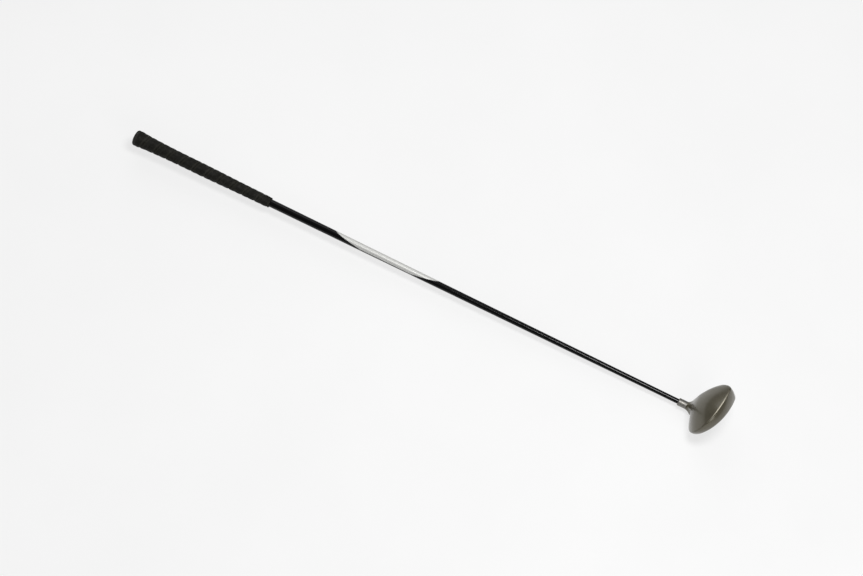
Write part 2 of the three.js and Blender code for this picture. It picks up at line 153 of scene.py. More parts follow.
def piece_from_grid(name, grid, uv=None, lighter_share=None):
    """Joins neighbours of a grid of points (rows, columns, 3) into quads; both ways close."""
    index = np.arange(grid[..., 0].size).reshape(grid.shape[:2])
    below = np.roll(index, -1, axis=0)
    corners = [index, np.roll(index, -1, axis=1), np.roll(below, -1, axis=1), below]
    quads = np.stack(corners, axis=-1).reshape(-1, 4)
    mesh, quads = outward_mesh(name, grid.reshape(-1, 3), quads)
    if uv is not None:
        layer = mesh.uv_layers.new(name="wrap")
        layer.data.foreach_set("uv", uv.reshape(-1, 2)[quads.ravel()].astype(np.float32).ravel())
    # An optional share of a lighter colour per point, such as the head's painted highlight.
    if lighter_share is not None:
        mark = mesh.attributes.new("lighter_share", "FLOAT", "POINT")
        mark.data.foreach_set("value", lighter_share.astype(np.float32).ravel())
    return mesh


# %% Helpers: from a mesh to a piece of the frame
def new_object(name, data):
    """An object at the origin, linked to the scene."""
    made = bpy.data.objects.new(name, data)
    bpy.context.scene.collection.objects.link(made)
    return made


def finish_piece(mesh, material, node, sharp_degrees):
    """Welds poles, smooths the shading up to a crease angle, and hands the piece to the frame."""
    work = bmesh.new()
    work.from_mesh(mesh)
    bmesh.ops.remove_doubles(work, verts=work.verts, dist=1e-7)
    bmesh.ops.dissolve_degenerate(work, edges=work.edges, dist=1e-8)
    work.to_mesh(mesh)
    work.free()
    mesh.shade_smooth()
    mesh.set_sharp_from_angle(angle=math.radians(sharp_degrees))
    mesh.materials.append(material)
    piece = new_object(mesh.name, mesh)
    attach(piece, "root")
    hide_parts(node)
    print(piece.name, len(mesh.vertices), "points")


# %% Helpers: turned forms
LONGEST_CUT = 0.45


def around_axis(x, radius, angle):
    """Points round the shaft's axis: x, r cos(angle), r sin(angle)."""
    y, z = radius * np.cos(angle), radius * np.sin(angle)
    return np.stack(np.broadcast_arrays(x, y, z), axis=-1)


def turned(profile, segments=96):
    """A profile of (x, radius) carried once round the shaft's axis."""
    profile = np.asarray(profile, float)
    angle = np.linspace(0, 2 * np.pi, segments, endpoint=False)
    return around_axis(profile[:, :1], profile[:, 1:], angle)


def rounded(profile, radius, steps=4):
    """Cuts the corners of a closed profile by up to radius and fills them with Bezier arcs."""
    profile = np.asarray(profile, float)
    before = np.roll(profile, 1, axis=0) - profile
    after = np.roll(profile, -1, axis=0) - profile

    def cut(side):
        length = np.maximum(np.linalg.norm(side, axis=1), 1e-9)
        return profile + side * np.minimum(radius / length, LONGEST_CUT)[:, None]

    t = np.linspace(0, 1, steps)[None, :, None]
    start, corner, end = cut(before)[:, None], profile[:, None], cut(after)[:, None]
    arc = (1 - t) ** 2 * start + 2 * t * (1 - t) * corner + t**2 * end
    return arc.reshape(-1, 2)


# %% [markdown]
# ## Shader groups
# Four effects come back in several finishes, so each is a node group with named inputs: a fine
# grain that only raises a height, a soft patchiness that keeps large areas from looking printed,
# handling dust that gathers in spots, and a lighter colour mixed in where the mesh says so; on
# the head's crown edge that lighter colour is a painted highlight.
# The groups give out values and colours only; the shader itself stays in each material.

# %% Helpers: nodes
FLOAT, VECTOR, COLOR = "NodeSocketFloat", "NodeSocketVector", "NodeSocketColor"
MIX_FIRST, MIX_SECOND, MIX_RESULT = 6, 7, 2  # the colour sockets of a Mix node


def feed(tree, socket, value):
    """Links an output to an input socket, or writes a plain value there."""
    if hasattr(value, "is_linked"):
        tree.links.new(value, socket)
    else:
        socket.default_value = value


def node(tree, kind, at=(0, 0), **inputs):
    """Adds a node and feeds the inputs that are given by name."""
    made = tree.nodes.new(kind)
    made.location = at
    for name, value in inputs.items():
        feed(tree, made.inputs[name.replace("_", " ")], value)
    return made


def math_node(tree, operation, *values, at=(0, 0), kind="ShaderNodeMath"):
    """A Math or Vector Math node, fed in the order of its inputs."""
    made = node(tree, kind, at)
    made.operation = operation
    for socket, value in zip(made.inputs, values):
        feed(tree, socket, value)
    return made.outputs["Value"] if operation == "LENGTH" else made.outputs[0]


def mix_colors(tree, factor, first, second, at=(0, 0)):
    """The first colour where the factor is 0, the second where it is 1."""
    made = node(tree, "ShaderNodeMix", at)
    made.data_type = "RGBA"
    feed(tree, made.inputs["Factor"], factor)
    feed(tree, made.inputs[MIX_FIRST], first)
    feed(tree, made.inputs[MIX_SECOND], second)
    return made.outputs[MIX_RESULT]


# %% Helpers: groups
def new_group(name, inputs, outputs):
    """A shader node group with sockets given as (name, kind, default) and (name, kind)."""
    tree = bpy.data.node_groups.new(name, "ShaderNodeTree")
    for label, kind, default in inputs:
        socket = tree.interface.new_socket(name=label, in_out="INPUT", socket_type=kind)
        if default is not None:
            socket.default_value = default
    for label, kind in outputs:
        tree.interface.new_socket(name=label, in_out="OUTPUT", socket_type=kind)
    given = node(tree, "NodeGroupInput", (-700, 0))
    out = node(tree, "NodeGroupOutput", (400, 0))
    return tree, given.outputs, out.inputs


def place_group(tree, group, at=(0, 0), **inputs):
    """Puts a group into a material's tree and feeds its inputs."""
    made = tree.nodes.new("ShaderNodeGroup")
    made.node_tree = group
    made.location = at
    for name, value in inputs.items():
        feed(tree, made.inputs[name], value)
    return made


# %% Group: fine grain
grain_group, given, out = new_group(
    "fine_grain",
    [("Vector", VECTOR, None), ("Scale", FLOAT, 900.0), ("Amount", FLOAT, 1.0)],
    [("Height", FLOAT)],
)
noise = node(
    grain_group, "ShaderNodeTexNoise", (-200, 0),
    Vector=given["Vector"], Scale=given["Scale"], Detail=3.0, Roughness=0.6,
)
scaled = math_node(grain_group, "MULTIPLY", noise.outputs["Fac"], given["Amount"])
feed(grain_group, out["Height"], scaled)
print("group:", grain_group.name)

# %% Group: soft patchiness
patch_group, given, out = new_group(
    "soft_patches",
    [("Vector", VECTOR, None), ("Scale", FLOAT, 40.0), ("Low", FLOAT, 0.3), ("High", FLOAT, 0.4)],
    [("Value", FLOAT), ("Mask", FLOAT)],
)
noise = node(
    patch_group, "ShaderNodeTexNoise", (-400, 0),
    Vector=given["Vector"], Scale=given["Scale"], Detail=4.0, Roughness=0.55,
)
ramp = node(
    patch_group, "ShaderNodeMapRange", (-200, 0),
    Value=noise.outputs["Fac"], From_Min=0.35, From_Max=0.65,
)
level = node(
    patch_group, "ShaderNodeMapRange", (0, 0),
    Value=ramp.outputs["Result"], To_Min=given["Low"], To_Max=given["High"],
)
feed(patch_group, out["Value"], level.outputs["Result"])
feed(patch_group, out["Mask"], ramp.outputs["Result"])
print("group:", patch_group.name)

# %% Group: handling dust
CLEAN_BLACK = (0.02, 0.02, 0.02, 1)
DUST_COLOR = (0.2, 0.19, 0.17, 1)
dust_group, given, out = new_group(
    "handling_dust",
    [
        ("Vector", VECTOR, None), ("Color", COLOR, CLEAN_BLACK),
        ("Dust", COLOR, DUST_COLOR), ("Amount", FLOAT, 0.1),
    ],
    [("Color", COLOR)],
)
noise = node(
    dust_group, "ShaderNodeTexNoise", (-400, 0),
    Vector=given["Vector"], Scale=260.0, Detail=6.0, Roughness=0.7,
)
spots = node(
    dust_group, "ShaderNodeMapRange", (-200, 0),
    Value=noise.outputs["Fac"], From_Min=0.5, From_Max=0.75,
)
strength = math_node(dust_group, "MULTIPLY", spots.outputs["Result"], given["Amount"])
feed(dust_group, out["Color"], mix_colors(dust_group, strength, given["Color"], given["Dust"]))
print("group:", dust_group.name)

# %% Group: lighter places, such as the head's painted highlight
lighter_group, given, out = new_group(
    "lighter_places",
    [("Wear", FLOAT, 0.0), ("Color", COLOR, CLEAN_BLACK), ("Rubbed", COLOR, DUST_COLOR)],
    [("Color", COLOR)],
)
feed(lighter_group, out["Color"], mix_colors(lighter_group, given["Wear"], given["Color"], given["Rubbed"]))
print("group:", lighter_group.name)

# %% Materials: a common start
GLOSS_SPREAD = 0.15
GRAIN_DISTANCE = 0.0001


def new_material(name):
    """A material with object coordinates at hand: (material, tree, shader, coordinates)."""
    material = bpy.data.materials.new(name)
    material.use_nodes = True
    tree = material.node_tree
    tree.nodes.clear()
    shader = node(tree, "ShaderNodeBsdfPrincipled", (400, 0))
    node(tree, "ShaderNodeOutputMaterial", (700, 0), Surface=shader.outputs["BSDF"])
    coordinates = node(tree, "ShaderNodeTexCoord", (-900, 0))
    return material, tree, shader, coordinates.outputs["Object"]


def add_bump(tree, shader, height, strength, distance):
    """Raises the shading normal by a height of about 0 to 1 times a distance in metres."""
    bump = node(
        tree, "ShaderNodeBump", (200, -300), Strength=strength, Distance=distance, Height=height
    )
    feed(tree, shader.inputs["Normal"], bump.outputs["Normal"])


def lightened_color(tree, color, worn):
    """Turns to the lighter colour as far as the mesh's mark says; a painted highlight on the head.
    """
    mark = node(tree, "ShaderNodeAttribute", (-300, 500))
    mark.attribute_name = "lighter_share"
    lightened = place_group(
        tree, lighter_group, (0, 300), Wear=mark.outputs["Fac"], Color=color, Rubbed=(*worn, 1)
    )
    return lightened.outputs["Color"]


def plain_finish(
    name, color, roughness, metallic=0.0, dust=0.05, grain_scale=900.0, grain_bump=0.2,
    coat=0.0, coat_roughness=0.1, worn=None,
):
    """One colour with a breath of dust, soft patches in the gloss and a fine grain."""
    material, tree, shader, where = new_material(name)
    tinted = place_group(
        tree, dust_group, (-300, 200), Vector=where, Color=(*color, 1), Amount=dust
    )
    patches = place_group(
        tree, patch_group, (-300, 0), Vector=where,
        Low=roughness * (1 - GLOSS_SPREAD), High=roughness * (1 + GLOSS_SPREAD),
    )
    grains = place_group(tree, grain_group, (-300, -300), Vector=where, Scale=grain_scale)
    base = tinted.outputs["Color"]
    # A lighter colour, if given, goes where the mesh marks it; on the head it is a painted
    # highlight.
    feed(tree, shader.inputs["Base Color"], lightened_color(tree, base, worn) if worn else base)
    feed(tree, shader.inputs["Roughness"], patches.outputs["Value"])
    shader.inputs["Metallic"].default_value = metallic
    shader.inputs["Coat Weight"].default_value = coat
    shader.inputs["Coat Roughness"].default_value = coat_roughness
    add_bump(tree, shader, grains.outputs["Height"], grain_bump, GRAIN_DISTANCE)
    return material


# %% [markdown]
# ## Rubber
# A wrap grip is moulded in black rubber with a pebbled skin and rows of fine pinholes along each
# turn. The turns themselves are geometry; the pebbles and pinholes are far below a millimetre,
# so they are bump. The pinholes follow the turns through a UV map that counts the turns.

# %% Rubber for the grip
HOLE_INNER = 0.1
HOLE_OUTER = 0.22
HOLE_WEIGHT = 1.6
RUBBER_BLACK = (0.0045, 0.0042, 0.0024, 1)
RUBBER_LIGHTER = (0.0165, 0.0155, 0.0105)
VECTOR_MATH = "ShaderNodeVectorMath"
rubber, tree, shader, where = new_material("grip_rubber")
tinted = place_group(
    tree, dust_group, (-300, 300), Vector=where, Color=RUBBER_BLACK, Amount=0.1
)
patches = place_group(
    tree, patch_group, (-300, 100), Vector=where, Low=0.62, High=0.82, Scale=60.0
)
pebbles = place_group(
    tree, grain_group, (-600, -200), Vector=where, Scale=1500.0, Amount=1.0
)
wrap_uv = node(tree, "ShaderNodeUVMap", (-900, -400))
wrap_uv.uv_map = "wrap"
tiles = math_node(tree, "FRACTION", wrap_uv.outputs["UV"], at=(-700, -400), kind=VECTOR_MATH)
centred = math_node(
    tree, "SUBTRACT", tiles, (0.5, 0.5, 0.0), at=(-550, -400), kind=VECTOR_MATH
)
from_hole = math_node(tree, "LENGTH", centred, at=(-400, -400), kind=VECTOR_MATH)
hole = node(
    tree, "ShaderNodeMapRange", (-250, -400),
    Value=from_hole, From_Min=HOLE_INNER, From_Max=HOLE_OUTER,
)
raised = math_node(
    tree, "MULTIPLY_ADD", hole.outputs["Result"], HOLE_WEIGHT, pebbles.outputs["Height"],
    at=(0, -300),
)
# Both shoulders of each turn take a lighter rubber colour.
lightened = lightened_color(tree, tinted.outputs["Color"], RUBBER_LIGHTER)
feed(tree, shader.inputs["Base Color"], lightened)
feed(tree, shader.inputs["Roughness"], patches.outputs["Value"])
shader.inputs["Specular IOR Level"].default_value = 0.22
add_bump(tree, shader, raised, strength=0.5, distance=0.0003)

cap_rubber = plain_finish(
    "cap_rubber", (0.007, 0.0065, 0.0045), 0.75, dust=0.06, grain_scale=1500.0, grain_bump=0.35
)
print("finishes:", rubber.name, cap_rubber.name)

# %% [markdown]
# ## Shaft paint
# The shaft is gloss black with one long silver patch, sprayed through a mask: it stops short of
# the underside, and both of its ends sweep up to a soft point. Its border is a height round the
# shaft that depends on the distance to the nearer end, so object coordinates are all it takes.

# %% Gloss black paint with a silver patch
PATCH_START = -0.1766
PATCH_END = 0.0251
START_RUN = 0.052
END_RUN = 0.05
PATCH_UP = (0.893, 0.45)
SHAFT_MEAN_RADIUS = 0.0063
RUN_POWER = 0.6
PATCH_FOOT = 1.85
PATCH_SOFT = 0.22
PATCH_ROUGHNESS = 0.2
PATCH_METALLIC = 0.35
PAINT_BLACK = (0.0012, 0.0012, 0.0014, 1)
PAINT_SILVER = (0.62, 0.62, 0.6, 1)
shaft_paint, tree, shader, where = new_material("shaft_paint")
x, y, z = node(tree, "ShaderNodeSeparateXYZ", (-700, 0), Vector=where).outputs
off_y = math_node(tree, "SUBTRACT", y, AXIS_Y)
off_z = math_node(tree, "SUBTRACT", z, AXIS_Z)
side = math_node(tree, "MULTIPLY", off_y, PATCH_UP[0] / SHAFT_MEAN_RADIUS)
rise = math_node(tree, "MULTIPLY", off_z, PATCH_UP[1] / SHAFT_MEAN_RADIUS)
height = math_node(tree, "ADD", side, rise)
from_start = math_node(tree, "DIVIDE", math_node(tree, "SUBTRACT", x, PATCH_START), START_RUN)
from_end = math_node(tree, "DIVIDE", math_node(tree, "SUBTRACT", PATCH_END, x), END_RUN)
nearer = math_node(tree, "MINIMUM", from_start, from_end)
run = math_node(tree, "MAXIMUM", math_node(tree, "MINIMUM", nearer, 1.0), 0.0)
swept = math_node(tree, "MULTIPLY", math_node(tree, "POWER", run, RUN_POWER), PATCH_FOOT)
border = math_node(tree, "SUBTRACT", 1.0, swept)
over_border = math_node(tree, "SUBTRACT", height, border)
fade = node(tree, "ShaderNodeMapRange", Value=over_border, From_Max=PATCH_SOFT)
fade.interpolation_type = "SMOOTHSTEP"
in_patch = fade.outputs["Result"]
colors = mix_colors(tree, in_patch, PAINT_BLACK, PAINT_SILVER)
dusty = place_group(tree, dust_group, (0, 200), Vector=where, Color=colors, Amount=0.004)
feed(tree, shader.inputs["Base Color"], dusty.outputs["Color"])
patches = place_group(tree, patch_group, (0, 0), Vector=where, Low=0.15, High=0.19, Scale=30.0)
patch_rough = math_node(tree, "MULTIPLY", in_patch, PATCH_ROUGHNESS)
rough = math_node(tree, "ADD", patches.outputs["Value"], patch_rough)
feed(tree, shader.inputs["Roughness"], rough)
feed(tree, shader.inputs["Metallic"], math_node(tree, "MULTIPLY", in_patch, PATCH_METALLIC))
shader.inputs["Specular IOR Level"].default_value = 0.2
print("finish:", shaft_paint.name)

# %% [markdown]
# ## Metals and hidden materials
# The head is painted satin grey over metal, the hosel is satin steel, and the face is blasted.
# They differ in colour, gloss and grain only, so one recipe serves all three, and the tape, the
# epoxy and the cork inside as well.

# %% Head, hosel, face and hidden finishes
# The head's lighter colour is a painted highlight: the thin bright line where the rounded crown
# edge at the toe catches the lamp.
head_paint = plain_finish(
    "head_metal", (0.092, 0.082, 0.054), 0.36, metallic=0.5, dust=0.04,
    grain_scale=2600.0, grain_bump=0.12, coat=0.6, coat_roughness=0.16, worn=(0.62, 0.57, 0.46),
)
hosel_steel = plain_finish(
    "hosel_steel", (0.23, 0.222, 0.205), 0.55, metallic=1.0, dust=0.04,
    grain_scale=2200.0, grain_bump=0.1,
)
face_metal = plain_finish(
    "face_metal", (0.2, 0.19, 0.19), 0.45, metallic=0.85, dust=0.06,
    grain_scale=3200.0, grain_bump=0.35,
)
tape_paper = plain_finish(
    "tape_paper", (0.55, 0.5, 0.38), 0.85, dust=0.1, grain_scale=1200.0, grain_bump=0.3
)
resin = plain_finish("resin", (0.3, 0.28, 0.22), 0.5)
cork = plain_finish(
    "cork", (0.35, 0.22, 0.12), 0.85, dust=0.3, grain_scale=700.0, grain_bump=0.6
)
print("finishes:", [item.name for item in bpy.data.materials])

# %% [markdown]
# ## Grip
# The sleeve's radius follows the moulded taper. One groove winds round it: the distance from a
# point to the nearest turn is worked out from its angle plus its place along the grip, and a
# smooth dip is cut there. Each turn is a little fuller at its middle, as wrapped strap is.

# %% The grip sleeve
GRIP_ROWS = 680
GRIP_COLUMNS = 96
GRIP_TAPER = np.array([
    [0, 0.985], [0.027, 0.956], [0.072, 0.883], [0.137, 0.839], [0.209, 0.796], [0.327, 0.763],
    [0.487, 0.759], [0.612, 0.73], [0.734, 0.686], [0.867, 0.657], [1, 0.635],
])
TAPER_WINDOW = 0.02
TAPER_SAMPLES = 9
GROOVE_DEPTH = 0.6
GROOVE_HALF_WIDTH = 1.1
TURN_CROWN = 0.5
END_FADE = 3.0
MOUTH_ROUND = 1.0
MOUTH_TUCK = 0.7
BORE_CLEARANCE = 0.95
BORE_ROWS = 6
GRIP_START = CAP_LENGTH + JOINT_GAP
SHAFT_END = GROUND_X - SHAFT_TIP_HEIGHT


def shaft_radius(x):
    """Straight taper from butt to the grip's mouth, then to the parallel tip."""
    stops = [0, GRIP_LENGTH, SHAFT_END - PARALLEL_TIP, SHAFT_END]
    radii = [SHAFT_BUTT_RADIUS, SHAFT_MOUTH_RADIUS, SHAFT_TIP_RADIUS, SHAFT_TIP_RADIUS]
    return np.interp(x, stops, radii)


def grip_radius(x):
    """The taper table as shares of length and cap radius, softened by a moving mean."""
    share = (x - CAP_LENGTH) / (GRIP_LENGTH - CAP_LENGTH)
    window = np.linspace(-TAPER_WINDOW, TAPER_WINDOW, TAPER_SAMPLES)[:, None]
    taper = np.interp(np.clip(share + window, 0, 1), GRIP_TAPER[:, 0], GRIP_TAPER[:, 1])
    return CAP_RADIUS * taper.mean(axis=0)


x = np.linspace(GRIP_START, GRIP_LENGTH, GRIP_ROWS)
angle = np.linspace(0, 2 * np.pi, GRIP_COLUMNS, endpoint=False)
turns = angle[None, :] / (2 * np.pi) + (x[:, None] - GRIP_START) / WRAP_PITCH
across = np.abs(turns - np.round(turns)) * WRAP_PITCH
ends = np.clip(np.minimum(x - GRIP_START, GRIP_LENGTH - x) / END_FADE, 0, 1)[:, None]
dip = GROOVE_DEPTH * np.exp(-((across / GROOVE_HALF_WIDTH) ** 2))
fullness = TURN_CROWN * np.sin(np.pi * np.clip(across / (WRAP_PITCH / 2), 0, 1))
radius_here = grip_radius(x)[:, None] + ends * (fullness - dip)
mouth = np.clip(1 - (GRIP_LENGTH - x) / MOUTH_ROUND, 0, 1)[:, None]
radius_here = radius_here - MOUTH_ROUND * MOUTH_TUCK * (1 - np.sqrt(1 - mouth**2))
bore_x = np.linspace(GRIP_LENGTH, GRIP_START, BORE_ROWS)
bore = np.stack([bore_x, shaft_radius(bore_x) + BORE_CLEARANCE], axis=-1)
grid = np.concatenate([around_axis(x[:, None], radius_here, angle), turned(bore, GRIP_COLUMNS)])
print("grip turns: %.1f" % ((GRIP_LENGTH - GRIP_START) / WRAP_PITCH))

# %% The sleeve's pinhole map and lighter shoulders
PINHOLES_ACROSS = 3
PINHOLE_PITCH = 3.2
SHOULDER_AT = 2.6
SHOULDER_WIDTH = 1.1
plain_bore = np.zeros((BORE_ROWS, GRIP_COLUMNS))
uv_turns = np.concatenate([turns * PINHOLES_ACROSS * 2, plain_bore])
uv_round = np.concatenate([radius_here * angle[None, :] / PINHOLE_PITCH, plain_bore])
# Both shoulders of each turn are marked for the lighter rubber colour.
lighter_shoulder = np.exp(-(((across - SHOULDER_AT) / SHOULDER_WIDTH) ** 2))
sleeve = piece_from_grid(
    "grip_sleeve_skin", in_frame(grid),
    uv=np.stack([uv_turns, uv_round], axis=-1), lighter_share=np.concatenate([lighter_shoulder, plain_bore]),
)
finish_piece(sleeve, rubber, "grip_sleeve", sharp_degrees=50)

# %% [markdown]
# The end cap is a rubber button with a small vent that lets air out when the grip is slid on.
# It is turned like the real one's mould: a rounded profile carried round the axis.

# %% The end cap
CAP_OVERLAP = 0.25
CAP_ROUND = 0.6
CAP_COLUMNS = 128
VENT_RADIUS = 1.6
cap_profile = [
    (0.0, VENT_RADIUS), (0.0, 8.0), (0.3, 9.6), (0.75, 9.9), (0.8, 10.3), (0.6, 10.6),
    (1.3, 12.6), (2.6, 13.8), (4.2, CAP_RADIUS),
    (CAP_LENGTH + CAP_OVERLAP, CAP_RADIUS * GRIP_TAPER[0, 1]),
    (CAP_LENGTH + CAP_OVERLAP, VENT_RADIUS),
]
cap_grid = turned(rounded(cap_profile, CAP_ROUND), CAP_COLUMNS)
cap = piece_from_grid("grip_end_cap_skin", in_frame(cap_grid))
finish_piece(cap, cap_rubber, "grip_end_cap", sharp_degrees=30)

# %% [markdown]
# ## Shaft and hosel
# Both are turned from a closed profile, outside down and bore back up. The shaft gets many rows
# so that its taper shades evenly, and its paint and clear coat make it a little thicker than the
# bare tube; the hosel has a chamfered lip and steps down where the crown's collar slides over it.

# %% The shaft tube
SHAFT_ROWS = 160
SHAFT_COLUMNS = 72
EVERY_FOURTH = 4
SHAFT_WALL = 1.1
SHAFT_WALL_GAIN = 0.4
COAT_BUILD = 0.25
stations = np.linspace(GRIP_START, SHAFT_END, SHAFT_ROWS)
wall = SHAFT_WALL + SHAFT_WALL_GAIN * stations / stations[-1]
outside = np.stack([stations, shaft_radius(stations) + COAT_BUILD], axis=-1)
inside = np.stack([stations, shaft_radius(stations) - wall], axis=-1)[::-EVERY_FOURTH]
tube_grid = turned(np.concatenate([outside, inside]), SHAFT_COLUMNS)
tube = piece_from_grid("shaft_tube_skin", in_frame(tube_grid))
finish_piece(tube, shaft_paint, "shaft_tube", sharp_degrees=40)

# %% The hosel tube
HOSEL_CHAMFER = 0.7
HOSEL_ROUND = 0.35
POLE_RADIUS = 0.02
hosel_profile = [
    (HOSEL_TOP, HOSEL_BORE), (HOSEL_TOP, HOSEL_RADIUS - HOSEL_CHAMFER),
    (HOSEL_TOP - HOSEL_CHAMFER, HOSEL_RADIUS), (HOSEL_SEAT, HOSEL_RADIUS),
    (HOSEL_SEAT, SEAT_RADIUS), (HOSEL_FOOT, SEAT_RADIUS), (HOSEL_FOOT, POLE_RADIUS),
    (SHAFT_TIP_HEIGHT - JOINT_GAP, POLE_RADIUS), (SHAFT_TIP_HEIGHT - JOINT_GAP, HOSEL_BORE),
]
hosel_profile = [(GROUND_X - height, radius) for height, radius in hosel_profile]
hosel_grid = turned(rounded(hosel_profile, HOSEL_ROUND))
hosel = piece_from_grid("hosel_tube_skin", in_frame(hosel_grid))
finish_piece(hosel, hosel_steel, "hosel_tube", sharp_degrees=35)

# %% [markdown]
# ## The head's skin
# The crown is a dome over a rounded outline that is squarer in front than behind. Near the heel
# it is drawn up round the hosel. Seen straight down the shaft, dome and collar are both plain
# heights over a disc, so the blend is a smooth maximum of the two heights. Under the crown edge
# comes the skirt, which is the face in front, and under that the sole.


# %% Outlines and heights
def squared_off(value, power):
    """Signed power that squares off a circle: sign(v) |v|^(2 / power)."""
    return np.sign(value) * np.abs(value) ** (2 / power)


def edge_loop(edge, t):
    """Plan outline at angle t: a superellipse with its own depth and power in front and behind."""
    ahead = np.sin(t) >= 0
    power = np.where(ahead, edge["front_power"], edge["rear_power"])
    depth = np.where(ahead, edge["front"], edge["rear"])
    x = edge["centre"] + edge["half"] * squared_off(np.cos(t), power)
    return x, edge["mid"] + depth * squared_off(np.sin(t), power)


def edge_height(edge, rim, t):
    """Side height, pulled to front or rear by sine squared, plus the rise towards the toe."""
    target = np.where(np.sin(t) >= 0, rim["front"], rim["rear"])
    toe = rim["toe_rise"] * (edge_loop(edge, t)[0] - edge["centre"])
    return rim["side"] + (target - rim["side"]) * np.sin(t) ** 2 + toe


def crown_height(x, y):
    """The dome over the plan: apex - (apex - rim) reach^power, where reach is 1 on the outline."""
    dx, dy = x - CROWN_EDGE["centre"], y - CROWN_EDGE["mid"]
    ahead = dy >= 0
    power = np.where(ahead, CROWN_EDGE["front_power"], CROWN_EDGE["rear_power"])
    depth = np.where(ahead, CROWN_EDGE["front"], CROWN_EDGE["rear"])
    sides = np.abs(dx / CROWN_EDGE["half"]) ** power + np.abs(dy / depth) ** power
    reach = sides ** (1 / power) + 1e-9
    sine_squared = (np.abs(dy) / (reach * depth)) ** power
    target = np.where(ahead, CROWN_RIM["front"], CROWN_RIM["rear"])
    toe = CROWN_RIM["toe_rise"] * dx / reach
    rim = CROWN_RIM["side"] + (target - CROWN_RIM["side"]) * sine_squared + toe
    return CROWN_APEX - (CROWN_APEX - rim) * reach**CROWN_POWER


def skirt_point(t, drop):
    """Straight blend from crown edge to sole edge by drop, pushed out by a parabola."""
    top_x, top_y = edge_loop(CROWN_EDGE, t)
    foot_x, foot_y = edge_loop(SOLE_EDGE, t)
    high = edge_height(CROWN_EDGE, CROWN_RIM, t)
    low = edge_height(SOLE_EDGE, SOLE_RIM, t)
    bulge = SKIRT_BULGE * 4 * drop * (1 - drop)
    return np.stack([
        top_x + drop * (foot_x - top_x) + bulge * np.cos(t),
        top_y + drop * (foot_y - top_y) + bulge * np.sin(t),
        high + drop * (low - high),
    ], axis=-1)


def sole_point(t, reach):
    """Sole edge drawn in to its middle; the height falls to nothing at the flat patch."""
    rim_x, rim_y = edge_loop(SOLE_EDGE, t)
    beyond = np.maximum((reach - SOLE_FLAT) / (1 - SOLE_FLAT), 0)
    return np.stack([
        SOLE_EDGE["centre"] + reach * (rim_x - SOLE_EDGE["centre"]),
        SOLE_EDGE["mid"] + reach * (rim_y - SOLE_EDGE["mid"]),
        edge_height(SOLE_EDGE, SOLE_RIM, t) * beyond**SOLE_POWER,
    ], axis=-1)


# %% Even columns round the outline
HEAD_COLUMNS = 240
HAIR = 0.002
FINE_STEPS = 4001
fine_t = np.linspace(0, 2 * np.pi, FINE_STEPS)
fine_x, fine_y = edge_loop(CROWN_EDGE, fine_t)
travelled = np.concatenate([[0], np.cumsum(np.hypot(np.diff(fine_x), np.diff(fine_y)))])
even = np.linspace(0, travelled[-1], HEAD_COLUMNS, endpoint=False)
window_t = np.array([FACE_START - HAIR, FACE_START + HAIR, FACE_END - HAIR, FACE_END + HAIR])
columns_t = np.sort(np.concatenate([np.interp(even, travelled, fine_t), window_t]))
print("outline %.0f mm round, %d columns" % (travelled[-1], len(columns_t)))

# %% [markdown]
# ## Crown and collar
# Each column of the crown runs from the collar's lip out to the crown's edge. How high the dome
# stands above a point of the disc is found by halving an interval. The collar is read from a
# table of radii and heights: a narrow one all round, and a wider one mixed in towards the toe
# and the face, where the dome is far away. The blend fades out before the edge. A bevel between
# a separate dome and collar would need a clean edge to work on; a formula that holds in every
# column needs none, and the surface stays smooth.

# %% Crown rows, from the collar's lip to the crown's edge
CROWN_ROWS = 64
ROW_BUNCHING = 1.25
EDGE_ROWS = 6
EDGE_STEP = 0.42
COLLAR_CLEARANCE = 12.8
CLEARANCE_SOFT = 1.0
shaft_up = np.array([-math.cos(LIE), 0, math.sin(LIE)])
edge_x, edge_y = edge_loop(CROWN_EDGE, columns_t)
edge = np.stack([edge_x, edge_y, edge_height(CROWN_EDGE, CROWN_RIM, columns_t)], axis=-1)
edge_along = edge @ shaft_up
edge_out = edge - edge_along[:, None] * shaft_up
plain_distance = np.linalg.norm(edge_out, axis=1)
direction = edge_out / plain_distance[:, None]
short_of = plain_distance - COLLAR_CLEARANCE
edge_distance = COLLAR_CLEARANCE + (short_of + np.sqrt(short_of**2 + CLEARANCE_SOFT)) / 2
edge_push = (edge_distance - plain_distance)[:, None] * direction
inner_reach = (edge_distance - COLLAR_LIP_RADIUS - EDGE_ROWS * EDGE_STEP)[None, :]
share = np.linspace(0, 1, CROWN_ROWS)[:, None] ** ROW_BUNCHING
distance = np.concatenate([
    COLLAR_LIP_RADIUS + share * inner_reach,
    edge_distance[None, :] - EDGE_STEP * np.arange(EDGE_ROWS - 1, -1, -1)[:, None],
])
print("crown rows %d, pushed out near the heel by up to %.1f mm" % (
    len(distance), np.linalg.norm(edge_push, axis=1).max()
))

# %% The dome, measured along the shaft
SEARCH_LOW = -60.0
SEARCH_HIGH = 80.0
HALVINGS = 44


def over_disc(along, distance, direction):
    """Points at a height along the shaft and a distance from it in a direction."""
    return along[..., None] * shaft_up + distance[..., None] * direction


def dome_along(distance, direction):
    """Where a line parallel to the shaft meets the dome: an interval is halved again and again."""
    low = np.full_like(distance, SEARCH_LOW)
    high = np.full_like(distance, SEARCH_HIGH)
    for _ in range(HALVINGS):
        middle = (low + high) / 2
        spot = over_disc(middle, distance, direction)
        above = spot[..., 2] > crown_height(spot[..., 0], spot[..., 1])
        high = np.where(above, middle, high)
        low = np.where(above, low, middle)
    return (low + high) / 2


dome = dome_along(distance, direction)
print("dome from %.1f to %.1f mm along the shaft" % (dome.min(), dome.max()))

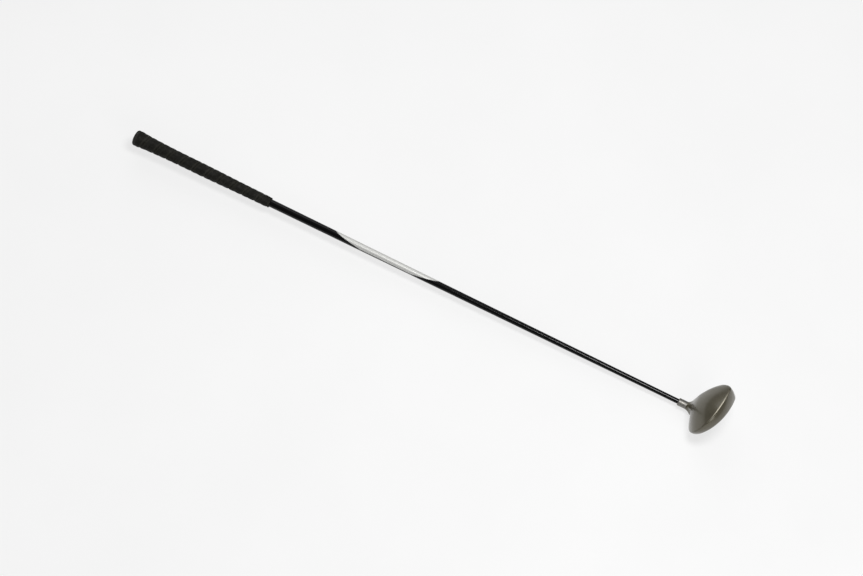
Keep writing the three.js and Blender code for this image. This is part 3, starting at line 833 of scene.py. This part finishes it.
# %% The collar, measured along the shaft
COLLAR_FLARE = np.array([
    [0, 0], [0.19, 0.09], [0.35, 0.18], [0.51, 0.3], [0.67, 0.5], [0.84, 0.77], [1, 1],
])
BEYOND_FLARE = np.array([[13.0, 28], [15, 16], [20, -10], [120, -150]])
WIDE_FLARE = np.array([
    [7.0, 43.7], [7.3, 42.3], [8.2, 40.6], [9.8, 38.9], [12.2, 37.2], [16, 35.2], [21, 32.4],
    [28, 27], [40, 12], [120, -150],
])
LIP_WINDOW = 1.5
FLARE_WINDOW = 1.2
FLARE_SAMPLES = 13
WIDE_FROM = 14.0
WIDE_SPAN = 16.0
WIDE_TO_TOE = 0.75
WIDE_TO_FACE = 0.66
WIDE_LEAN = 0.8
WIDE_TURN = 0.7


def smoothstep(value):
    """Rises from 0 to 1 with level ends: 3 v^2 - 2 v^3 on v held between 0 and 1."""
    value = np.clip(value, 0, 1)
    return value**2 * (3 - 2 * value)


def softened(distance, table):
    """A table of (distance, height) read as a moving mean, whose window closes at the lip."""
    opening = np.clip((distance - COLLAR_LIP_RADIUS) / LIP_WINDOW, 0, 1)[..., None]
    window = opening * np.linspace(-FLARE_WINDOW, FLARE_WINDOW, FLARE_SAMPLES)
    return np.interp(distance[..., None] + window, table[:, 0], table[:, 1]).mean(axis=-1)


flare = np.stack([
    COLLAR_LIP_RADIUS + COLLAR_FLARE[:, 1] * (COLLAR_FOOT_RADIUS - COLLAR_LIP_RADIUS),
    HOSEL_SEAT - JOINT_GAP - COLLAR_FLARE[:, 0] * COLLAR_DROP,
], axis=-1)
to_toe = np.array([math.sin(LIE), 0, math.cos(LIE)])
wide_side = WIDE_TO_TOE * to_toe + np.array([0.0, WIDE_TO_FACE, 0.0])
wide_share = smoothstep((edge_distance - WIDE_FROM) / WIDE_SPAN)
wide_share = wide_share * smoothstep((direction @ wide_side + WIDE_LEAN) / WIDE_TURN)
narrow = softened(distance, np.concatenate([flare, BEYOND_FLARE]))
collar = narrow + wide_share[None, :] * (softened(distance, WIDE_FLARE) - narrow)
print("columns with the wide collar:", int((wide_share > 0.5).sum()))

# %% Dome and collar blended
COLLAR_BLEND = 6.0
FADE_SHORT = 4.5
FADE_LONG = 14.0
FADE_GAIN = 0.6
gap = dome - collar
blend = (np.sqrt(gap**2 + COLLAR_BLEND**2) - np.abs(gap)) / 2
fade_length = FADE_SHORT + FADE_GAIN * (edge_distance - COLLAR_CLEARANCE)
fade_length = np.clip(fade_length, FADE_SHORT, FADE_LONG)[None, :]
to_edge = smoothstep((edge_distance[None, :] - distance) / fade_length)
along = dome + (np.maximum(dome, collar) + blend - dome) * to_edge
along = along + (edge_along - along[-1])[None, :] * (1 - to_edge)
crown = over_disc(along, distance, direction)
print("edge error %.4f mm" % np.abs(crown[-1] - edge - edge_push).max())

# %% [markdown]
# ## Skirt and sole
# Rows lie close together at the seam, just under the crown's edge, and at the sole's edge. The
# drop of a row is a share of the skirt's height there, from 0 at the crown to 1 at the sole.

# %% Skirt rows
SEAM_DROP = 0.9
SEAM_HAIR = 0.08
PUSH_FADE = 9.0
TOP_ROWS = np.array([0.45, SEAM_DROP, SEAM_DROP + SEAM_HAIR, 1.35, 1.8, 2.25])
FOOT_ROWS = np.array([3.0, 2.4, 1.8, 1.2, 0.6])
WINDOW_ROWS = [FACE_TOP - HAIR, FACE_TOP + HAIR, FACE_BOTTOM - HAIR, FACE_BOTTOM + HAIR]
EVEN_ROWS = np.linspace(0.1, 0.92, 24)
LEAST_STEP = 1e-3
LAST_DROP = 0.995
high = edge_height(CROWN_EDGE, CROWN_RIM, columns_t)
height_here = (high - edge_height(SOLE_EDGE, SOLE_RIM, columns_t))[None, :]
near_top = TOP_ROWS[:, None] / height_here
near_foot = 1 - FOOT_ROWS[:, None] / height_here
main = np.concatenate([EVEN_ROWS, WINDOW_ROWS])[:, None]
lower = np.concatenate([near_top[3:], near_foot, main * np.ones_like(height_here)])
lower = np.sort(np.clip(lower, near_top[2] + LEAST_STEP, LAST_DROP), axis=0)
drops = np.concatenate([near_top[:3], lower, np.ones_like(height_here)])
skirt = skirt_point(columns_t[None, :], drops)
skirt = skirt + edge_push[None] * np.exp(-((drops * height_here / PUSH_FADE) ** 2))[..., None]
print("skirt rows", len(skirt))

# %% Sole rows, and the whole skin
SOLE_START = 3.6
SOLE_ROWS = 34
sole_width = np.hypot(edge_x - SOLE_EDGE["centre"], edge_y - SOLE_EDGE["mid"])[None, :]
first = 1 - FOOT_ROWS[::-1, None] / sole_width
rest = (1 - SOLE_START / sole_width) * np.linspace(1, 0, SOLE_ROWS)[:, None]
sole = sole_point(columns_t[None, :], np.concatenate([first, rest]))
skin = np.concatenate([crown, skirt, sole])
crown_edge_row = len(crown) - 1
seam_row = crown_edge_row + 2
sole_edge_row = len(crown) + len(skirt) - 1
print("skin rows", len(skin), "seam at", seam_row)

# %% [markdown]
# A real head has no knife edges: the crown edge is broken by under a millimetre and the sole's
# edge by more. Rows near these edges are averaged with their neighbours by a narrow bell curve,
# which rounds the edges in one matrix product, and calms the neck under the collar as well. The
# face window is cut afterwards, sharp.

# %% Rounding the edges
BASE_SOFTNESS = 0.25
SHARP = 0.05
NECK_ROW = 14
row = np.arange(len(skin))
softness = np.full(len(skin), BASE_SOFTNESS)
for at_row, amount, width in (
    (crown_edge_row, 2.6, 3.0), (sole_edge_row, 2.2, 5.0), (NECK_ROW, 1.6, 9.0),
):
    softness += amount * np.exp(-(((row - at_row) / width) ** 2))
softness[:2] = SHARP
softness[-3:] = SHARP
bell = np.exp(-(((row[:, None] - row[None, :]) / softness[:, None]) ** 2) / 2)
bell /= bell.sum(axis=1, keepdims=True)
skin = (bell @ skin.reshape(len(skin), -1)).reshape(skin.shape)
print("softest row: %.2f rows wide" % softness.max())

# %% Normals of the skin
HEAD_MIDDLE = np.array([CROWN_EDGE["centre"], CROWN_EDGE["mid"] - 15, 20.0])
STRAIGHT_DOWN = [0.0, 0.0, -1.0]


def outward(grid):
    """Unit normals from the cross product of the grid's two central differences."""
    down = np.gradient(grid, axis=0)
    around = np.roll(grid, -1, axis=1) - np.roll(grid, 1, axis=1)
    normal = np.cross(down, around)
    size = np.linalg.norm(normal, axis=-1, keepdims=True)
    normal = np.where(size > 1e-9, normal / np.maximum(size, 1e-9), STRAIGHT_DOWN)
    return normal * np.sign(np.einsum("...i,...i->...", normal, grid - HEAD_MIDDLE).sum())


normals = outward(skin)
normals[-1] = STRAIGHT_DOWN
print("normals:", normals.shape)

# %% [markdown]
# Along the toe the rounded crown edge catches the lamp as a thin bright line, and this highlight is
# painted into the colour. How strong the painted highlight is at each point is written on the mesh
# as a number from 0 to 1, by its distance from the edge in rows and from the toe in degrees; the
# head's finish reads it.

# %% Painted highlight along the toe
HIGHLIGHT_MIDDLE = math.radians(325)
HIGHLIGHT_SPAN = math.radians(27)
HIGHLIGHT_ROWS = 1.5
HIGHLIGHT_BELOW = 0.3
across_edge = np.exp(-(((row - crown_edge_row - HIGHLIGHT_BELOW) / HIGHLIGHT_ROWS) ** 2))
along_edge = np.exp(-(((columns_t - HIGHLIGHT_MIDDLE) / HIGHLIGHT_SPAN) ** 2))
painted_edge_highlight = across_edge[:, None] * along_edge[None, :]
print("worn points:", int((painted_edge_highlight > 0.5).sum()))

# %% [markdown]
# Crown and body are both walls: the skin above or below the seam, and the same rows again set in
# by the wall along the normals. The crown's wall gets thinner towards the collar's lip. A
# Solidify modifier would give one thickness only, and the lip needs its own.

# %% The crown piece
CROWN_WALL = 1.0
LIP_WALL = 0.5
LIP_ROWS = 4
THINNING_ROWS = 12


def walled(name, outer, inner, outer_highlight):
    """A closed wall: the outside rows down, the inside rows back up, with the painted highlight
    outside only.
    """
    lighter_share = np.concatenate([outer_highlight, np.zeros(inner.shape[:2])])
    return piece_from_grid(name, from_address(np.concatenate([outer, inner[::-1]])), lighter_share=lighter_share)


upper = slice(None, seam_row + 1)
thinning = np.clip((row[upper] - LIP_ROWS) / THINNING_ROWS, 0, 1)[:, None, None]
thickness = LIP_WALL + (CROWN_WALL - LIP_WALL) * thinning
inner = skin[upper] - normals[upper] * thickness
crown_mesh = walled("crown_skin", skin[upper], inner, painted_edge_highlight[upper])
finish_piece(crown_mesh, head_paint, "crown_shell", sharp_degrees=60)

# %% The body piece, with a pocket for the face plate
BODY_WALL = 1.4
RECESS = 3.2
BELOW_WINDOW = 2.0
under = slice(seam_row + 1, None)
drop_here = np.concatenate([drops[2:], np.full(sole.shape[:2], BELOW_WINDOW)])
in_face = (columns_t > FACE_START) & (columns_t < FACE_END)
pocket = in_face[None, :] & (drop_here > FACE_TOP) & (drop_here < FACE_BOTTOM)
outer = skin[under] - normals[under] * (RECESS * pocket)[..., None]
body_mesh = walled("body_skin", outer, outer - normals[under] * BODY_WALL, painted_edge_highlight[under])
finish_piece(body_mesh, head_paint, "body_shell", sharp_degrees=40)

# %% [markdown]
# ## Face plate
# The face is its own plate, set flush into its window. Score lines are shallow cuts at even
# heights, left out over the hitting area in the middle, as on most drivers. They are geometry:
# a dip along the surface normal wherever the height comes near a line.

# %% Rows and columns of the face
FACE_ROWS = 150
FACE_COLUMNS = 210
FACE_GAP = 0.2
FACE_GAP_ANGLE = 0.006
face_t = np.linspace(FACE_START + FACE_GAP_ANGLE, FACE_END - FACE_GAP_ANGLE, FACE_COLUMNS)[None, :]
high = edge_height(CROWN_EDGE, CROWN_RIM, face_t)
margin = FACE_GAP / (high - edge_height(SOLE_EDGE, SOLE_RIM, face_t))
share = np.linspace(0, 1, FACE_ROWS)[:, None]
face_drop = FACE_TOP + margin + share * (FACE_BOTTOM - FACE_TOP - 2 * margin)
plate = skirt_point(face_t, face_drop)
plate_normal = np.cross(np.gradient(plate, axis=1), np.gradient(plate, axis=0))
plate_normal /= np.linalg.norm(plate_normal, axis=-1, keepdims=True)
plate_normal *= np.sign(plate_normal[..., 1].mean())
print("face grid:", plate.shape[:2])

# %% Score lines and a broken edge
FACE_MIDDLE = 28.0
SCORE_PITCH = 4.2
SCORE_FIRST = 8.6
SCORE_DEPTH = 0.35
SCORE_HALF_WIDTH = 0.38
SCORE_INNER = 9.0
SCORE_OUTER = 31.0
SCORE_LOWEST = 7.0
SCORE_HIGHEST = 30.5
SCORE_FADE = 0.8
BORDER_DEPTH = 0.14
BORDER_ROWS = 2


def fade_in(value):
    """Rises straight from 0 to 1 over the length in which a score line runs out."""
    return np.clip(value / SCORE_FADE, 0, 1)


line_phase = (plate[..., 2] - SCORE_FIRST) / SCORE_PITCH
from_line = np.abs(line_phase - np.round(line_phase)) * SCORE_PITCH
from_middle = np.abs(plate[..., 0] - FACE_MIDDLE)
sideways = fade_in(from_middle - SCORE_INNER) * fade_in(SCORE_OUTER - from_middle)
upwards = fade_in(SCORE_HIGHEST - plate[..., 2]) * fade_in(plate[..., 2] - SCORE_LOWEST)
cut = SCORE_DEPTH * np.exp(-((from_line / SCORE_HALF_WIDTH) ** 2)) * sideways * upwards
from_side = np.arange(FACE_COLUMNS)
from_side = np.minimum(from_side, from_side[::-1])[None, :]
border = np.minimum(np.minimum(share, 1 - share) * (FACE_ROWS - 1), from_side)
broken_edge = BORDER_DEPTH * np.clip(1 - border / BORDER_ROWS, 0, 1)
print("deepest cut %.2f mm" % cut.max())

# %% The face plate
FACE_WALL = 2.8


def closed_plate(name, front, back):
    """Front and back grids joined round their borders into one closed mesh."""
    index = np.arange(front[..., 0].size).reshape(front.shape[:2])
    corners = [index[:-1, :-1], index[:-1, 1:], index[1:, 1:], index[1:, :-1]]
    quads = np.stack(corners, axis=-1).reshape(-1, 4)
    border = np.concatenate([index[0, :-1], index[:-1, -1], index[-1, :0:-1], index[:0:-1, 0]])
    following = np.roll(border, -1)
    walls = np.stack([following, border, border + index.size, following + index.size], axis=-1)
    quads = np.concatenate([quads, quads[:, ::-1] + index.size, walls])
    points = np.concatenate([front.reshape(-1, 3), back.reshape(-1, 3)])
    return outward_mesh(name, points, quads)[0]


front = plate - plate_normal * (cut + broken_edge)[..., None]
back = plate - plate_normal * FACE_WALL
face = closed_plate("face_plate_skin", from_address(front), from_address(back))
finish_piece(face, face_metal, "face_plate", sharp_degrees=40)

# %% [markdown]
# ## What stays hidden
# The paper tape under the grip, the cork in the shaft's tip and the layer of epoxy show nowhere,
# so their solids are fine as they are, and only their finish is put on.

# %% Hidden pieces keep their solids
for name, material in (("grip_tape", tape_paper), ("shaft_tip_plug", cork), ("hosel_bond", resin)):
    nodes[name].data.materials.clear()
    nodes[name].data.materials.append(material)
    print("hidden piece dressed:", name)

# %% [markdown]
# ## Table
# The club lies on a pale table, which is one large sheet, so wide that its edge stays far away
# in low views. It glows to the camera and to reflections, so that it looks white, but it lights
# the club only as a plain grey surface would. It slopes away gently, because the club in the
# picture doesn't lie quite level on it.

# %% The table
FLOOR_HALF = 30.0
FLOOR_LINES = 61
FLOOR_SLOPE = 0.02
FLOOR_PIVOT = 0.55
FLOOR_GAP = 0.0005
TABLE_GLOW = 0.7
steps = np.linspace(-FLOOR_HALF, FLOOR_HALF, FLOOR_LINES)
floor_x, floor_y = np.meshgrid(steps, steps, indexing="ij")
floor_z = FLOOR_SLOPE * (floor_x - FLOOR_PIVOT) - FLOOR_GAP
floor_points = np.stack([floor_x, floor_y, floor_z], axis=-1)
index = np.arange(floor_x.size).reshape(floor_x.shape)
corners = [index[:-1, :-1], index[1:, :-1], index[1:, 1:], index[:-1, 1:]]
quads = np.stack(corners, axis=-1).reshape(-1, 4)
floor_mesh = bpy.data.meshes.new("table_top")
floor_mesh.from_pydata(floor_points.reshape(-1, 3).tolist(), [], quads.tolist())
floor = new_object("table_top", floor_mesh)
table, tree, shader, where = new_material("table_white")
shader.inputs["Roughness"].default_value = 0.9
shader.inputs["Specular IOR Level"].default_value = 0.1
shader.inputs["Emission Color"].default_value = (1, 1, 1, 1)
whiteness = place_group(
    tree, patch_group, (-300, 0), Vector=where, Scale=3.0, Low=0.21, High=0.225
)
feed(tree, shader.inputs["Base Color"], whiteness.outputs["Value"])
path = node(tree, "ShaderNodeLightPath", (-700, -300)).outputs
mirrored = math_node(tree, "MAXIMUM", path["Is Glossy Ray"], path["Is Transmission Ray"])
seen = math_node(tree, "MAXIMUM", path["Is Camera Ray"], mirrored)
feed(tree, shader.inputs["Emission Strength"], math_node(tree, "MULTIPLY", seen, TABLE_GLOW))
floor.data.materials.append(table)
print("table %.0f m wide, glow %.1f" % (2 * FLOOR_HALF, TABLE_GLOW))

# %% [markdown]
# ## Light
# A dim white world fills the shadows. A large lamp from behind at the left is the main light,
# one over the head is placed where the shaft mirrors it as a thin line, and one from the front
# at the right opens the near side.

# %% World and lamps
WORLD_STRENGTH = 0.16
world = bpy.data.worlds.new("studio")
bpy.context.scene.world = world
world.use_nodes = True
background = world.node_tree.nodes["Background"]
background.inputs["Color"].default_value = (1.0, 1.0, 1.0, 1)
background.inputs["Strength"].default_value = WORLD_STRENGTH


def turn_to(item, right, up, back, place):
    """Puts a lamp or a camera at its place; its own axes are the columns of its matrix."""
    matrix = np.eye(4)
    matrix[:3] = np.stack([right, up, back, place], axis=1)
    item.matrix_world = Matrix(matrix)


def add_lamp(name, place, target, size, power):
    """A rectangular area lamp turned to look from its place at the target."""
    data = bpy.data.lights.new(name, "AREA")
    data.shape = "RECTANGLE"
    data.size, data.size_y = size
    data.energy = power
    back = np.subtract(place, target, dtype=float)
    back /= np.linalg.norm(back)
    across = np.cross([0.0, 0.0, 1.0], back)
    across /= np.linalg.norm(across)
    turn_to(new_object(name, data), across, np.cross(back, across), back, place)


for name, place, aim_x, size, power in (
    ("key_left_behind", (-1.2, 1.6, 2.0), 0.2, (2.4, 2.4), 22),
    ("strip_over_head", (0.55, -0.24, 2.8), 0.45, (0.9, 0.65), 56),
    ("fill_front_right", (1.9, -1.5, 1.3), 0.5, (1.6, 1.6), 20),
):
    add_lamp(name, place, (aim_x, 0.0, 0.0), size, power)
print("lamps:", [item.name for item in bpy.data.lights])

# %% [markdown]
# ## Camera
# The club is seen from well above through a long lens, so that it is hardly foreshortened. The
# camera stands square to the shaft over the head, looks at the middle of the club, and is then
# turned about its own line of sight until the shaft lies in the picture at the right slant.

# %% The camera
VIEW_ANGLE = math.radians(63.3)
DISTANCE = 4.5
HEAD_X = 0.5115
AIM_X = 0.0177
AIM_LOWER = 0.0105
CAMERA_TURN = math.radians(25.97)
SENSOR_WIDTH = 36.0
LENS = 108.5
square_back = np.array([0.0, -math.cos(VIEW_ANGLE), math.sin(VIEW_ANGLE)])
square_up = np.array([0.0, math.sin(VIEW_ANGLE), math.cos(VIEW_ANGLE)])
place = np.array([HEAD_X, AXIS_Y, AXIS_Z]) + DISTANCE * square_back
target = np.array([AIM_X, AXIS_Y, AXIS_Z]) - AIM_LOWER * square_up
back = (place - target) / np.linalg.norm(place - target)
level_right = np.array([1.0, 0.0, 0.0]) - back[0] * back
level_right /= np.linalg.norm(level_right)
level_up = np.cross(back, level_right)
right = math.cos(CAMERA_TURN) * level_right + math.sin(CAMERA_TURN) * level_up
camera_data = bpy.data.cameras.new("camera")
camera_data.sensor_width = SENSOR_WIDTH
camera_data.lens = LENS
camera = new_object("camera", camera_data)
turn_to(camera, right, np.cross(back, right), back, place)
bpy.context.scene.camera = camera
bpy.context.scene.view_settings.view_transform = "Standard"
print("camera lens %.1f mm" % camera_data.lens)
